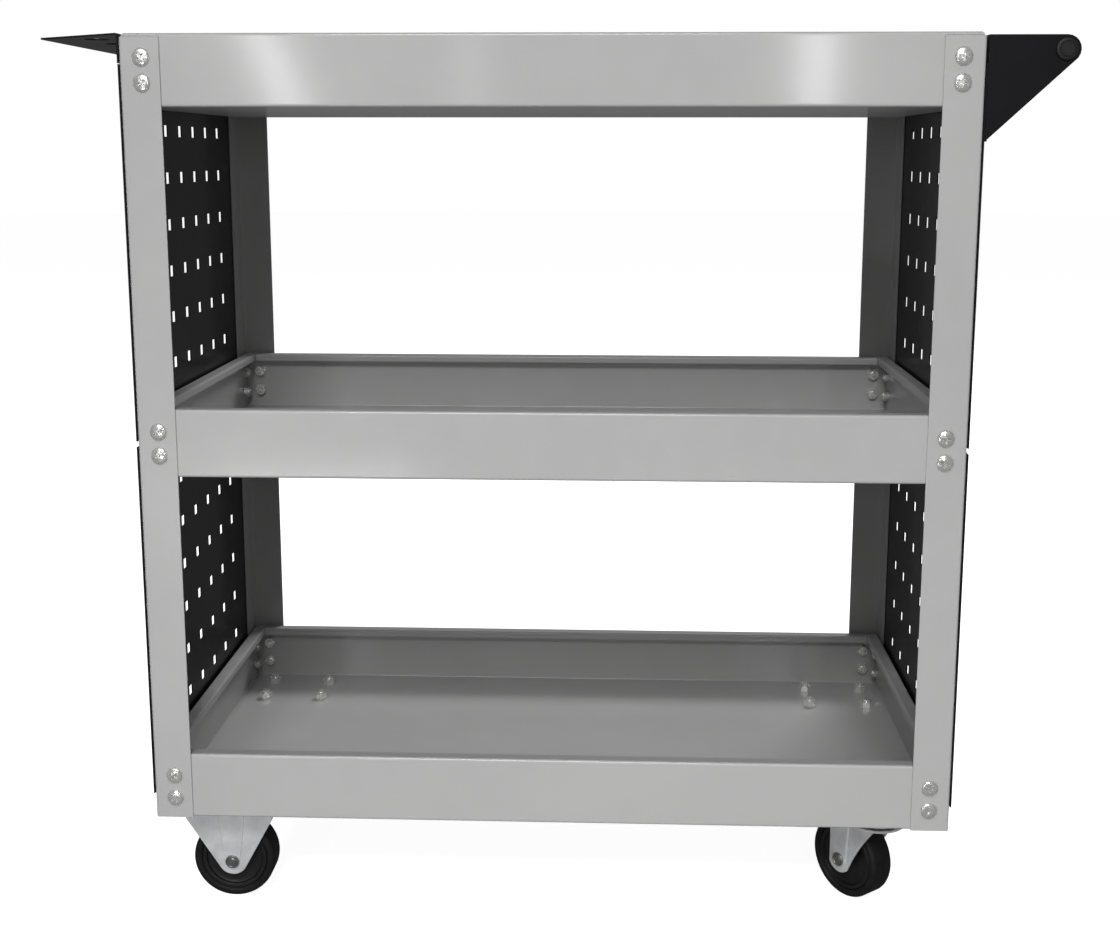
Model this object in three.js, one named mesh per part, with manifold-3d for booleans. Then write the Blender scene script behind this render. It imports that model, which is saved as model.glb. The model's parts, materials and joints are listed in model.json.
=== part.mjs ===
// Three-shelf steel tool cart on casters, in millimetres, +Z up.
// The cart's length lies along X with the push handle at +X, and its front faces -Y.
// The origin is on the floor, under the middle of the whole cart.
import * as THREE from 'three';
import { mergeVertices } from 'three/addons/utils/BufferGeometryUtils.js';
import Module from 'manifold-3d';

const wasm = await Module();
wasm.setup();

// ---- driving dimensions ----
const GAP = 0.3; // clearance kept between pieces that touch
const BEND_STEPS = 3; // straight steps in a sheet-metal bend
const FRAME = { length: 700, depth: 360, bottom: 96, top: 776 };
const POST = { leg: 33, sheet: 1.5, bend: 2.2, belowTop: 3 };
const TRAY = {
  sheet: 1.2, rail: 59, lip: 13, hem: 7, bend: 2.4,
  tops: { top: 776, middle: 465, bottom: 155 },
};
const PANEL = {
  sheet: 1.2, height: 314, hole: 10, pitch: 42, columns: 6, rows: 6,
  centres: { upper: 594.3, lower: 275.4 },
};
const RACK = {
  reach: 84, chamfer: 52, sheet: 1.5, flange: 24, bend: 1.9,
  hole: 22, holes: 6, holePitch: 52, holeReach: 35,
};
const HANDLE = {
  reach: 63, drop: 14, tube: 11, wall: 1.5, sheet: 1.5, eye: 11.5, height: 84, flange: 22,
  cap: 9, capThickness: 2, stem: 9,
};
const SCREW = {
  inset: 18, drops: { upper: 19.3, lower: 40 }, hole: 3.4,
  head: 7, headHeight: 2.8, shank: 3, length: 9,
};
const CASTER = {
  x: { left: 291, right: 296 }, y: 128.5, sheet: 2.5,
  plateLength: 84, plateWidth: 62, boltX: 60, boltY: 44, boltHole: 4.5,
};
const WHEEL = { radius: 37.5, width: 25, shoulder: 3.5, rim: 30, chamfer: 1.5, bore: 4.2 };
const HUB = { boss: 9, bossHalf: 13.6, webInner: 11, webOuter: 26.5, webHalf: 4, rimInset: 2 };
const AXLE = { radius: 3.9, head: 6.2, headHeight: 2, nut: 7.5, nutHeight: 6, overrun: 2 };
const LEG = { inside: 14.5, tip: 13.6, rib: 1.4, ribTop: 14, eye: 8.2 };
const FIXED = { axle: -1.8, left: -44, right: 36, shoulder: 16 };
const SWIVEL = {
  trail: 26, crownTop: 82.5, crownRadius: 27, back: 13, front: -14, waist: { x: 5, z: 57 },
  angles: { front: 129, rear: 150 },
};
const KINGPIN = { radius: 4.9, head: 8, headHeight: 3 };
const RACE = { bore: 8, inner: 22.5, outer: 25, sheet: 2, overlap: 1.8 };
const BALLS = { ring: 18, section: 3.2 };

// Half the difference in overhang, so that the origin is under the middle of the whole cart.
const SHIFT_X = (RACK.reach - (HANDLE.reach + HANDLE.eye)) / 2;

// ---- finishes ----
const FINISH = {
  greyPaint: { color: 0x9a9c9b, roughness: 0.42, metalness: 0.1 },
  blackPaint: { color: 0x16171a, roughness: 0.3, metalness: 0.1 },
  zinc: { color: 0xc9ccce, roughness: 0.28, metalness: 0.9 },
  tyre: { color: 0x1c1c1d, roughness: 0.75, metalness: 0 },
  hub: { color: 0x141415, roughness: 0.5, metalness: 0 },
};

// ---- geometry helpers ----
const vec2 = (x, y) => new THREE.Vector2(x, y);

function arc(cx, cy, radius, from, to, steps = BEND_STEPS) {
  return Array.from({ length: steps + 1 }, (_, i) => {
    const angle = THREE.MathUtils.degToRad(from + ((to - from) * i) / steps);
    return vec2(cx + radius * Math.cos(angle), cy + radius * Math.sin(angle));
  });
}

function extrude(points, depth) {
  return new THREE.ExtrudeGeometry(new THREE.Shape(points), { depth, bevelEnabled: false });
}

// Turns an extrusion drawn in (x, z) into one whose depth runs along Y, starting at y.
function alongY(geometry, y) {
  return geometry.rotateX(Math.PI / 2).scale(1, -1, 1).translate(0, y, 0);
}

// Box between two opposite corners.
function boxBetween(low, high) {
  const size = high.map((value, i) => value - low[i]);
  return new THREE.BoxGeometry(...size).translate(...low.map((value, i) => value + size[i] / 2));
}

function cylinderY(radius, y0, y1, x, z, sides) {
  return new THREE.CylinderGeometry(radius, radius, y1 - y0, sides).translate(x, (y0 + y1) / 2, z);
}

function cylinderZ(radius, z0, z1, x, y, sides) {
  const pin = new THREE.CylinderGeometry(radius, radius, z1 - z0, sides).rotateX(Math.PI / 2);
  return pin.translate(x, y, (z0 + z1) / 2);
}

// Tools that cut a round hole through a sheet lying at the given y or z.
const DRILL_REACH = 5;
const drillY = (radius, y, x, z, sides) => cylinderY(radius, y - DRILL_REACH, y + DRILL_REACH, x, z, sides);
const drillZ = (radius, z, x, y, sides) => cylinderZ(radius, z - DRILL_REACH, z + DRILL_REACH, x, y, sides);

function toManifold(geometry) {
  const bare = geometry.clone();
  bare.deleteAttribute('normal');
  bare.deleteAttribute('uv');
  const merged = mergeVertices(bare, 1e-4);
  const vertProperties = new Float32Array(merged.attributes.position.array);
  const triVerts = new Uint32Array(merged.index.array);
  if (signedVolume(vertProperties, triVerts) < 0) triVerts.reverse();
  return new wasm.Manifold(new wasm.Mesh({ numProp: 3, vertProperties, triVerts }));
}

function signedVolume(points, triangles) {
  const corner = (i) => new THREE.Vector3().fromArray(points, 3 * triangles[i]);
  let volume = 0;
  for (let i = 0; i < triangles.length; i += 3) {
    volume += corner(i).dot(corner(i + 1).cross(corner(i + 2))) / 6;
  }
  return volume;
}

function toGeometry(manifold) {
  const mesh = manifold.getMesh();
  const geometry = new THREE.BufferGeometry();
  geometry.setAttribute('position', new THREE.BufferAttribute(mesh.vertProperties, 3));
  geometry.setIndex(new THREE.BufferAttribute(mesh.triVerts, 1));
  geometry.computeVertexNormals();
  return geometry;
}

function join(geometries) {
  return toGeometry(geometries.map(toManifold).reduce((sum, piece) => sum.add(piece)));
}

function cut(geometry, tools) {
  return toGeometry(tools.map(toManifold).reduce((rest, tool) => rest.subtract(tool), toManifold(geometry)));
}

// Solid of revolution about Y, with its faces pointing out whichever way its profile runs.
function turned(profile, segments) {
  return toGeometry(toManifold(new THREE.LatheGeometry(profile, segments)));
}

// Scaling by -1 turns a mesh inside out, so a mirrored copy gets its faces turned back.
function mirrored(geometry, sx, sy) {
  return sx * sy > 0 && sx > 0 ? geometry : toGeometry(toManifold(geometry.clone().scale(sx, sy, 1)));
}

// ---- assembly helpers ----
const cart = new THREE.Group();
cart.position.x = SHIFT_X;

function addPart(parent, name, geometry, finish) {
  const mesh = new THREE.Mesh(geometry, new THREE.MeshStandardMaterial({ ...FINISH[finish] }));
  mesh.name = name;
  parent.add(mesh);
  return mesh;
}

const halfLength = FRAME.length / 2;
const halfDepth = FRAME.depth / 2;
const SIDES = { left: -1, right: 1 };
const ENDS = { front: -1, rear: 1 };

// Heights of the two screws that hold a tray at each corner.
const screwHeights = (top) => Object.values(SCREW.drops).map((drop) => top - drop);

// ---- corner posts: folded angle, one leg on the front or rear face, the other on the side ----
function postProfile() {
  const { leg, sheet, bend } = POST;
  return [
    vec2(leg, 0),
    ...arc(bend, bend, bend, 270, 180),
    vec2(0, leg),
    vec2(sheet, leg),
    ...arc(bend, bend, bend - sheet, 180, 270),
    vec2(leg, sheet),
  ];
}

function postGeometry(side, end) {
  const post = extrude(postProfile(), FRAME.top - POST.belowTop - FRAME.bottom);
  post.translate(-halfLength, -halfDepth, FRAME.bottom);
  if (end > 0) return mirrored(post, -side, -1);
  const heights = Object.values(TRAY.tops).flatMap(screwHeights);
  const x = -halfLength + SCREW.inset;
  const drills = heights.map((z) => drillY(SCREW.hole, -halfDepth, x, z, 8));
  return mirrored(cut(post, drills), -side, 1);
}

// ---- trays: pressed pan with a rail on every side, a lip folded in and a hem turned down ----
function trayProfile(floor, top) {
  const { sheet, lip, hem, bend } = TRAY;
  const inner = bend - sheet;
  return [
    ...arc(bend, floor + bend, bend, 270, 180),
    ...arc(bend, top - bend, bend, 180, 90),
    ...arc(lip - bend, top - bend, bend, 90, 0),
    vec2(lip, top - hem),
    vec2(lip - sheet, top - hem),
    ...arc(lip - bend, top - bend, inner, 0, 90),
    ...arc(bend, top - bend, inner, 90, 180),
    ...arc(bend, floor + bend, inner, 180, 270),
  ];
}

// Joins rectangles of shrinking size into one skin; the first and the last are closed by flat faces.
function rectangleLoft(profile, halfX, halfY) {
  const corners = [[-1, -1], [1, -1], [1, 1], [-1, 1]];
  const points = profile.flatMap(({ x: inset, y: z }) =>
    corners.flatMap(([sx, sy]) => [sx * (halfX - inset), sy * (halfY - inset), z]));
  const index = [];
  for (let ring = 0; ring < profile.length - 1; ring += 1) {
    for (let i = 0; i < 4; i += 1) {
      const a = 4 * ring + i;
      const b = 4 * ring + ((i + 1) % 4);
      index.push(a, b, b + 4, a, b + 4, a + 4);
    }
  }
  const last = 4 * (profile.length - 1);
  index.push(0, 2, 1, 0, 3, 2, last, last + 1, last + 2, last, last + 2, last + 3);
  const geometry = new THREE.BufferGeometry();
  geometry.setAttribute('position', new THREE.BufferAttribute(new Float32Array(points), 3));
  geometry.setIndex(index);
  return geometry;
}

function trayGeometry(top) {
  const inset = POST.sheet + GAP;
  const halfX = halfLength - inset;
  const halfY = halfDepth - inset;
  const pan = rectangleLoft(trayProfile(top - TRAY.rail, top), halfX, halfY);
  const drills = screwHeights(top).flatMap((z) => Object.values(SIDES).map((side) =>
    drillY(SCREW.hole, -halfY, side * (halfLength - SCREW.inset), z, 8)));
  return cut(pan, drills);
}

// ---- perforated side panels, on the outside of the posts ----
function panelGeometry() {
  const { height, hole, pitch, columns, rows, sheet } = PANEL;
  const half = hole / 2;
  const blank = boxBetween([0, -halfDepth, -height / 2], [sheet, halfDepth, height / 2]);
  const punches = [];
  for (let column = 0; column < columns; column += 1) {
    for (let row = 0; row < rows; row += 1) {
      const y = (column - (columns - 1) / 2) * pitch;
      const z = (row - (rows - 1) / 2) * pitch;
      punches.push(boxBetween([-1, y - half, z - half], [sheet + 1, y + half, z + half]));
    }
  }
  return cut(blank, punches);
}

// ---- tool rack: a shelf sheet with a row of holes, fixed by a short flange above the side panel ----
function rackGeometry() {
  const { reach, chamfer, sheet, flange, bend, hole } = RACK;
  const root = halfLength + GAP;
  const outer = halfLength + reach;
  const { top } = FRAME;
  const section = [
    vec2(-root, top - flange),
    ...arc(-root - bend, top - bend, bend, 0, 90),
    vec2(-outer, top),
    vec2(-outer, top - sheet),
    ...arc(-root - bend, top - bend, bend - sheet, 90, 0),
    vec2(-root - sheet, top - flange),
  ];
  const blank = alongY(extrude(section, FRAME.depth), -halfDepth);
  const wedge = (end) => extrude([
    vec2(-root - bend, end * (halfDepth + 0.1)),
    vec2(-outer - 1, end * (halfDepth - chamfer)),
    vec2(-outer - 1, end * (halfDepth + 1)),
    vec2(-root - bend, end * (halfDepth + 1)),
  ], 2 * DRILL_REACH).translate(0, 0, top - DRILL_REACH);
  const holeY = (i) => (i - (RACK.holes - 1) / 2) * RACK.holePitch;
  const holes = Array.from({ length: RACK.holes }, (_, i) =>
    drillZ(hole / 2, top, -halfLength - RACK.holeReach, holeY(i), 14));
  return cut(blank, [wedge(-1), wedge(1), ...holes]);
}

// ---- push handle: two gusset brackets, a tube between them and a plug in each end ----
const handleX = halfLength + HANDLE.reach;
const handleZ = FRAME.top - HANDLE.drop;
const flangeX = halfLength + PANEL.sheet + 2 * GAP;

function handleBracketGeometry() {
  const { eye, height, sheet, flange } = HANDLE;
  const top = handleZ + eye;
  const lowerEdge = Math.atan2(handleZ - (top - height), HANDLE.reach);
  const tangent = THREE.MathUtils.radToDeg(lowerEdge) - 85;
  const outline = [
    vec2(flangeX, top), vec2(flangeX, top - height), ...arc(handleX, handleZ, eye, tangent, 90, 7),
  ];
  const gusset = alongY(extrude(outline, sheet), -halfDepth);
  const tab = boxBetween([flangeX, -halfDepth, top - height], [flangeX + sheet, -halfDepth + flange, top]);
  const plugHole = drillY(HANDLE.cap / 2 + GAP, -halfDepth, handleX, handleZ, 16);
  return cut(join([gusset, tab]), [plugHole]);
}

function handleTubeGeometry() {
  const { tube, wall, sheet } = HANDLE;
  const end = halfDepth - sheet - GAP;
  const corners = [[tube - wall, -end], [tube, -end], [tube, end], [tube - wall, end], [tube - wall, -end]];
  const profile = corners.map(([radius, y]) => vec2(radius, y));
  return turned(profile, 20).translate(handleX, 0, handleZ);
}

function handleCapGeometry() {
  const { cap, capThickness, sheet } = HANDLE;
  const face = -halfDepth - GAP;
  const stem = -halfDepth + sheet + HANDLE.stem;
  const profile = [
    vec2(0, face - capThickness), vec2(cap - 1, face - capThickness), vec2(cap, face - 1), vec2(cap, face),
    vec2(cap / 2, face), vec2(cap / 2, stem), vec2(0, stem),
  ];
  return turned(profile, 16).translate(handleX, 0, handleZ);
}

// ---- pan-head screw, head towards -Y, its seat at the origin ----
function screwGeometry() {
  const { head, headHeight, shank, length } = SCREW;
  const profile = [
    vec2(0, length), vec2(shank, length), vec2(shank, 0), vec2(head, 0), vec2(head, -0.4 * headHeight),
    vec2(0.7 * head, -headHeight), vec2(0, -headHeight),
  ];
  return turned(profile, 10);
}

// ---- casters: every piece is drawn round its own plate centre, wheel axle along Y ----
const plateTop = FRAME.bottom - GAP;
const plateBottom = plateTop - CASTER.sheet;
const legOutside = LEG.inside + CASTER.sheet;

function plateBlank() {
  const halfX = CASTER.plateLength / 2;
  const halfY = CASTER.plateWidth / 2;
  return boxBetween([-halfX, -halfY, plateBottom], [halfX, halfY, plateTop]);
}

function plateBoltHoles() {
  const { boltX, boltY, boltHole } = CASTER;
  return [-1, 1].flatMap((sx) => [-1, 1].map((sy) =>
    drillZ(boltHole, plateTop, (sx * boltX) / 2, (sy * boltY) / 2, 10)));
}

// Leg of a fixed fork: a wide band at the top, tapering to a round tip under the axle.
function fixedLegOutline(top) {
  const { axle, left, right, shoulder } = FIXED;
  return [
    ...arc(axle, WHEEL.radius, LEG.tip, 213, 335, 7),
    vec2(right, top - shoulder), vec2(right, top), vec2(left, top), vec2(left, top - shoulder),
  ];
}

// Leg of a swivel fork: one upright edge, one edge that curves in from under the crown.
function swivelLegOutline() {
  const { trail, crownTop, back, front, waist } = SWIVEL;
  const curve = new THREE.QuadraticBezierCurve(
    vec2(front, crownTop - CASTER.sheet), vec2(waist.x, waist.z), vec2(trail - 10, WHEEL.radius - 6));
  return [
    vec2(front, crownTop), ...curve.getPoints(5),
    ...arc(trail + 1, WHEEL.radius - 0.5, LEG.tip - 0.6, 220, 335, 6),
    vec2(trail + back, crownTop),
  ];
}

// Rib pressed out of a leg, tapering down to the axle.
function ribOutline(axleX, topHalf, top) {
  return [
    ...arc(axleX, WHEEL.radius, LEG.eye, 180, 360, 6),
    vec2(axleX + topHalf, top), vec2(axleX - topHalf, top),
  ];
}

// Two legs, one each side of the wheel, each with a rib pressed outwards.
function forkLegs(outline, rib) {
  return [-1, 1].flatMap((side) => {
    const leg = alongY(extrude(outline, CASTER.sheet), side < 0 ? -legOutside : LEG.inside);
    const ribStart = side < 0 ? -legOutside - LEG.rib : legOutside - 0.5;
    return [leg, alongY(extrude(rib, LEG.rib + 0.5), ribStart)];
  });
}

function axleHoleAt(x) {
  return cylinderY(AXLE.radius + GAP, -2 * LEG.inside, 2 * LEG.inside, x, WHEEL.radius, 12);
}

function fixedForkGeometry() {
  const top = plateBottom + 1;
  const legs = forkLegs(fixedLegOutline(top), ribOutline(FIXED.axle, LEG.ribTop, top));
  return cut(join([plateBlank(), ...legs]), [...plateBoltHoles(), axleHoleAt(FIXED.axle)]);
}

function swivelForkGeometry() {
  const { trail, back, crownTop, crownRadius } = SWIVEL;
  const crownBottom = crownTop - CASTER.sheet;
  const crown = cylinderZ(crownRadius, crownBottom, crownTop, 0, 0, 24);
  const bridge = boxBetween([0, -legOutside, crownBottom], [trail + back, legOutside, crownTop]);
  const legs = forkLegs(swivelLegOutline(), ribOutline(trail, back - LEG.rib, crownBottom));
  const pinHole = drillZ(KINGPIN.radius + 2 * GAP, crownTop, 0, 0, 16);
  const wheelRoom = boxBetween([-WHEEL.radius, -LEG.inside, 0], [2 * WHEEL.radius, LEG.inside, crownBottom]);
  return cut(join([crown, bridge, ...legs]), [pinHole, wheelRoom, axleHoleAt(trail)]);
}

function swivelPlateGeometry() {
  const pinHole = drillZ(KINGPIN.radius + GAP, plateTop, 0, 0, 16);
  return cut(plateBlank(), [...plateBoltHoles(), pinHole]);
}

// Pressed cup under the plate that holds the balls of the swivel.
function raceGeometry() {
  const { bore, inner, outer, sheet } = RACE;
  const top = plateBottom - GAP;
  const skirt = SWIVEL.crownTop + RACE.overlap;
  const profile = [
    vec2(bore, top - sheet), vec2(inner, top - sheet), vec2(inner + 0.5, skirt), vec2(outer, skirt),
    vec2(outer, top - 1.5), vec2(outer - 1, top), vec2(bore, top), vec2(bore, top - sheet),
  ];
  return turned(profile, 16).rotateX(Math.PI / 2);
}

function ballRingGeometry() {
  const height = (plateBottom - GAP - RACE.sheet + SWIVEL.crownTop) / 2;
  return new THREE.TorusGeometry(BALLS.ring, BALLS.section, 6, 16).translate(0, 0, height);
}

function kingpinGeometry() {
  const { radius, head, headHeight } = KINGPIN;
  const seat = SWIVEL.crownTop - CASTER.sheet - GAP;
  const end = plateTop - GAP;
  const profile = [
    vec2(0, seat - headHeight), vec2(head - 1, seat - headHeight), vec2(head, seat - headHeight + 1),
    vec2(head, seat), vec2(radius, seat), vec2(radius, end), vec2(0, end),
  ];
  return turned(profile, 16).rotateX(Math.PI / 2);
}

function tyreGeometry() {
  const { radius, width, rim, shoulder, chamfer } = WHEEL;
  const half = width / 2;
  const inner = rim + GAP;
  const corner = radius - shoulder;
  const profile = [
    vec2(inner, -half + chamfer), vec2(inner + chamfer, -half), vec2(corner, -half),
    ...arc(corner, -half + shoulder, shoulder, 300, 360, 2),
    ...arc(corner, half - shoulder, shoulder, 0, 60, 2),
    vec2(corner, half), vec2(inner + chamfer, half), vec2(inner, half - chamfer),
    vec2(inner, -half + chamfer),
  ];
  return turned(profile, 28).translate(0, 0, WHEEL.radius);
}

function hubGeometry() {
  const { bore, rim, width } = WHEEL;
  const { boss, bossHalf, webInner, webOuter, webHalf, rimInset } = HUB;
  const rimHalf = width / 2 - rimInset;
  const side = [
    vec2(bore, bossHalf), vec2(boss, bossHalf), vec2(webInner, webHalf + 1), vec2(webOuter, webHalf),
    vec2(webOuter + 1, rimHalf), vec2(rim, rimHalf),
  ];
  const back = side.map((point) => vec2(point.x, -point.y)).reverse();
  return turned([...back, ...side, back[0]], 24).translate(0, 0, WHEEL.radius);
}

function axleBoltGeometry() {
  const { radius, head, headHeight, nutHeight, overrun } = AXLE;
  const seat = -legOutside - LEG.rib - GAP;
  const end = -seat + nutHeight + overrun;
  const profile = [
    vec2(0, seat - headHeight), vec2(head - 1, seat - headHeight), vec2(head, seat - headHeight + 1),
    vec2(head, seat), vec2(radius, seat), vec2(radius, end), vec2(0, end),
  ];
  return turned(profile, 16).translate(0, 0, WHEEL.radius);
}

function axleNutGeometry() {
  const start = legOutside + LEG.rib + GAP;
  const nut = cylinderY(AXLE.nut, start, start + AXLE.nutHeight, 0, WHEEL.radius, 6);
  return cut(nut, [cylinderY(AXLE.radius + GAP, start - 1, start + AXLE.nutHeight + 1, 0, WHEEL.radius, 12)]);
}

function addWheelSet(parent, name, x, turn) {
  const set = new THREE.Group();
  set.position.x = x;
  set.rotation.z = turn;
  parent.add(set);
  addPart(set, `${name}_hub`, hubGeometry(), 'hub');
  addPart(set, `${name}_tyre`, tyreGeometry(), 'tyre');
  addPart(set, `${name}_axle_bolt`, axleBoltGeometry(), 'zinc');
  addPart(set, `${name}_axle_nut`, axleNutGeometry(), 'zinc');
}

function addFixedCaster(endName, end) {
  const name = `caster_${endName}_left`;
  const caster = new THREE.Group();
  caster.position.set(-CASTER.x.left, end * CASTER.y, 0);
  cart.add(caster);
  addPart(caster, `${name}_fork`, fixedForkGeometry(), 'zinc');
  addWheelSet(caster, name, FIXED.axle, 0);
}

function addSwivelCaster(endName, end) {
  const name = `caster_${endName}_right`;
  const caster = new THREE.Group();
  caster.position.set(CASTER.x.right, end * CASTER.y, 0);
  cart.add(caster);
  addPart(caster, `${name}_plate`, swivelPlateGeometry(), 'zinc');
  addPart(caster, `${name}_race`, raceGeometry(), 'zinc');
  addPart(caster, `${name}_balls`, ballRingGeometry(), 'zinc');
  addPart(caster, `${name}_kingpin`, kingpinGeometry(), 'zinc');
  const swivel = new THREE.Group();
  swivel.rotation.z = THREE.MathUtils.degToRad(SWIVEL.angles[endName]);
  caster.add(swivel);
  addPart(swivel, `${name}_fork`, swivelForkGeometry(), 'zinc');
  addWheelSet(swivel, name, SWIVEL.trail, Math.PI);
}

// ---- build the cart ----
for (const [sideName, side] of Object.entries(SIDES)) {
  for (const [endName, end] of Object.entries(ENDS)) {
    addPart(cart, `post_${endName}_${sideName}`, postGeometry(side, end), 'greyPaint');
  }
  for (const [level, centre] of Object.entries(PANEL.centres)) {
    const panel = addPart(cart, `peg_panel_${sideName}_${level}`, panelGeometry(), 'blackPaint');
    const inner = halfLength + GAP;
    panel.position.set(side > 0 ? inner : -inner - PANEL.sheet, 0, centre);
  }
}

for (const [level, top] of Object.entries(TRAY.tops)) {
  addPart(cart, `tray_${level}`, trayGeometry(top), 'greyPaint');
  for (const [sideName, side] of Object.entries(SIDES)) {
    for (const [place, drop] of Object.entries(SCREW.drops)) {
      const screw = addPart(cart, `screw_${level}_${sideName}_${place}`, screwGeometry(), 'zinc');
      screw.position.set(side * (halfLength - SCREW.inset), -halfDepth - GAP, top - drop);
    }
  }
}

addPart(cart, 'tool_rack', rackGeometry(), 'blackPaint');
addPart(cart, 'handle_tube', handleTubeGeometry(), 'blackPaint');
for (const [endName, end] of Object.entries(ENDS)) {
  addPart(cart, `handle_bracket_${endName}`, mirrored(handleBracketGeometry(), 1, -end), 'blackPaint');
  addPart(cart, `handle_cap_${endName}`, mirrored(handleCapGeometry(), 1, -end), 'blackPaint');
  addFixedCaster(endName, end);
  addSwivelCaster(endName, end);
}

export default cart;
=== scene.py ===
"""Three-tray tool cart: finishes, pressed casters, fasteners, studio and camera. Metres, +Z up."""
import json
import math

import bmesh
import bpy
from mathutils import Matrix, Vector


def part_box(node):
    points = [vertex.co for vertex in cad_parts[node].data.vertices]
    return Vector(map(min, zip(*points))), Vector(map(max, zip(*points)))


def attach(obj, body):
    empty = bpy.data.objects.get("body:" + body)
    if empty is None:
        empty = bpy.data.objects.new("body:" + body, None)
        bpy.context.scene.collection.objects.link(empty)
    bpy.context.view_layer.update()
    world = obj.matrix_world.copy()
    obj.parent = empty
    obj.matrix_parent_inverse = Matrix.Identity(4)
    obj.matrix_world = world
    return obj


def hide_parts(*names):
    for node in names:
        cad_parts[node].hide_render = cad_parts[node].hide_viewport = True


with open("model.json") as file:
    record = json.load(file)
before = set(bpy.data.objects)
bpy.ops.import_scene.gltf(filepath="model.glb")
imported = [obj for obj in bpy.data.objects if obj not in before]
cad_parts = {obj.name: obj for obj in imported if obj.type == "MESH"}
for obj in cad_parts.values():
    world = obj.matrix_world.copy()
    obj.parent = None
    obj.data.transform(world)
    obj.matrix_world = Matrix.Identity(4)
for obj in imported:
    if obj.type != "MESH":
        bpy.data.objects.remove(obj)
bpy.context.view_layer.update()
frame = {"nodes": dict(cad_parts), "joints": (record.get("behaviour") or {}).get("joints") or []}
NODES = frame["nodes"]

MM = 0.001
SIDES = {"left": -1, "right": 1}
ENDS = {"front": -1, "rear": 1}
GAP = 0.3 * MM
ON_AXIS = 1e-9
SAME_PLACE = 1e-7

TRAY = {"sheet": 1.2 * MM, "lip": 13 * MM, "hem": 7 * MM, "bend": 2.4 * MM, "seam": 0.7 * MM}
POST_WALL = 1.8 * MM
PANEL_SHEET = 1.2 * MM
BRACKET_SHEET = 1.5 * MM
SCREW_INSET = 18 * MM
SCREW_DROPS = (19.3 * MM, 40 * MM)
SCREW_TWIST = {"front": 0.1, "rear": 0.3, "left": 0.6, "right": 0.8}

LEG = {"inside": 14.5 * MM, "sheet": 2.5 * MM, "rib": 1.4 * MM, "eye": 8.2 * MM}
WHEEL_Z = 37.5 * MM
WHEEL = {"radius": 37.5 * MM, "half": 12.5 * MM, "shoulder": 3.6 * MM, "rim": 30.3 * MM}
PLATE_TOP = 95.7 * MM
PLATE_SHEET = 2.5 * MM
PLATE_BOLTS = (30 * MM, 22 * MM)
FIXED = {"plate_reach": 44 * MM, "axle": -1.8 * MM, "top": 93.4 * MM}
TRAIL = 26 * MM
CROWN_TOP = 82.5 * MM
CROWN_SHEET = 2.5 * MM
BALLS = {"count": 15, "ring": 18 * MM, "radius": 3.2 * MM}


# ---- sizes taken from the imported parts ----
def middle(node):
    low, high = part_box(node)
    return (low + high) / 2


POST_LOW, POST_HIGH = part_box("post_front_left")
FAR_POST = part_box("post_rear_right")[1]
CENTRE_X = (POST_LOW.x + FAR_POST.x) / 2
HALF_X = (FAR_POST.x - POST_LOW.x) / 2
HALF_Y = FAR_POST.y
TRAY_TOPS = {level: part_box(f"tray_{level}")[1].z for level in ("top", "middle", "bottom")}
TRAY_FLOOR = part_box("tray_bottom")[0].z + TRAY["sheet"]


# ---- node materials ----
class Shader:
    """A node material whose pattern comes from noise in the object's own coordinates."""

    def __init__(self, name):
        self.material = bpy.data.materials.new(name)
        self.material.use_nodes = True
        self.tree = self.material.node_tree
        self.surface = self.tree.nodes["Principled BSDF"]
        self.place = self.tree.nodes.new("ShaderNodeTexCoord").outputs["Object"]

    def node(self, kind, **settings):
        made = self.tree.nodes.new(kind)
        for key, value in settings.items():
            setattr(made, key, value)
        return made

    def link(self, source, target):
        self.tree.links.new(source, target)

    def noise(self, scale, detail=3.0, stretch=None, roughness=0.55):
        texture = self.node("ShaderNodeTexNoise")
        texture.inputs["Scale"].default_value = scale
        texture.inputs["Detail"].default_value = detail
        texture.inputs["Roughness"].default_value = roughness
        place = self.place
        if stretch:
            mapping = self.node("ShaderNodeMapping")
            mapping.inputs["Scale"].default_value = stretch
            self.link(place, mapping.inputs["Vector"])
            place = mapping.outputs["Vector"]
        self.link(place, texture.inputs["Vector"])
        return texture.outputs["Fac"]

    def ranged(self, value, low, high, to_low=0.0, to_high=1.0):
        ranger = self.node("ShaderNodeMapRange")
        limits = {"From Min": low, "From Max": high, "To Min": to_low, "To Max": to_high}
        for socket, number in limits.items():
            ranger.inputs[socket].default_value = number
        self.link(value, ranger.inputs["Value"])
        return ranger.outputs["Result"]

    def mixed(self, factor, first, second):
        mixer = self.node("ShaderNodeMix", data_type="RGBA")
        for socket, value in ((mixer.inputs[6], first), (mixer.inputs[7], second)):
            if isinstance(value, tuple):
                socket.default_value = (*value, 1.0)
            else:
                self.link(value, socket)
        self.link(factor, mixer.inputs[0])
        return mixer.outputs[2]

    def bump(self, *layers):
        """Each layer is a height pattern with its strength and its depth in metres."""
        normal = None
        for height, strength, distance in layers:
            bumper = self.node("ShaderNodeBump")
            bumper.inputs["Strength"].default_value = strength
            bumper.inputs["Distance"].default_value = distance
            self.link(height, bumper.inputs["Height"])
            if normal:
                self.link(normal, bumper.inputs["Normal"])
            normal = bumper.outputs["Normal"]
        self.link(normal, self.surface.inputs["Normal"])

    def colour(self, value):
        self.link(value, self.surface.inputs["Base Color"])

    def roughness(self, value):
        self.link(value, self.surface.inputs["Roughness"])


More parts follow.
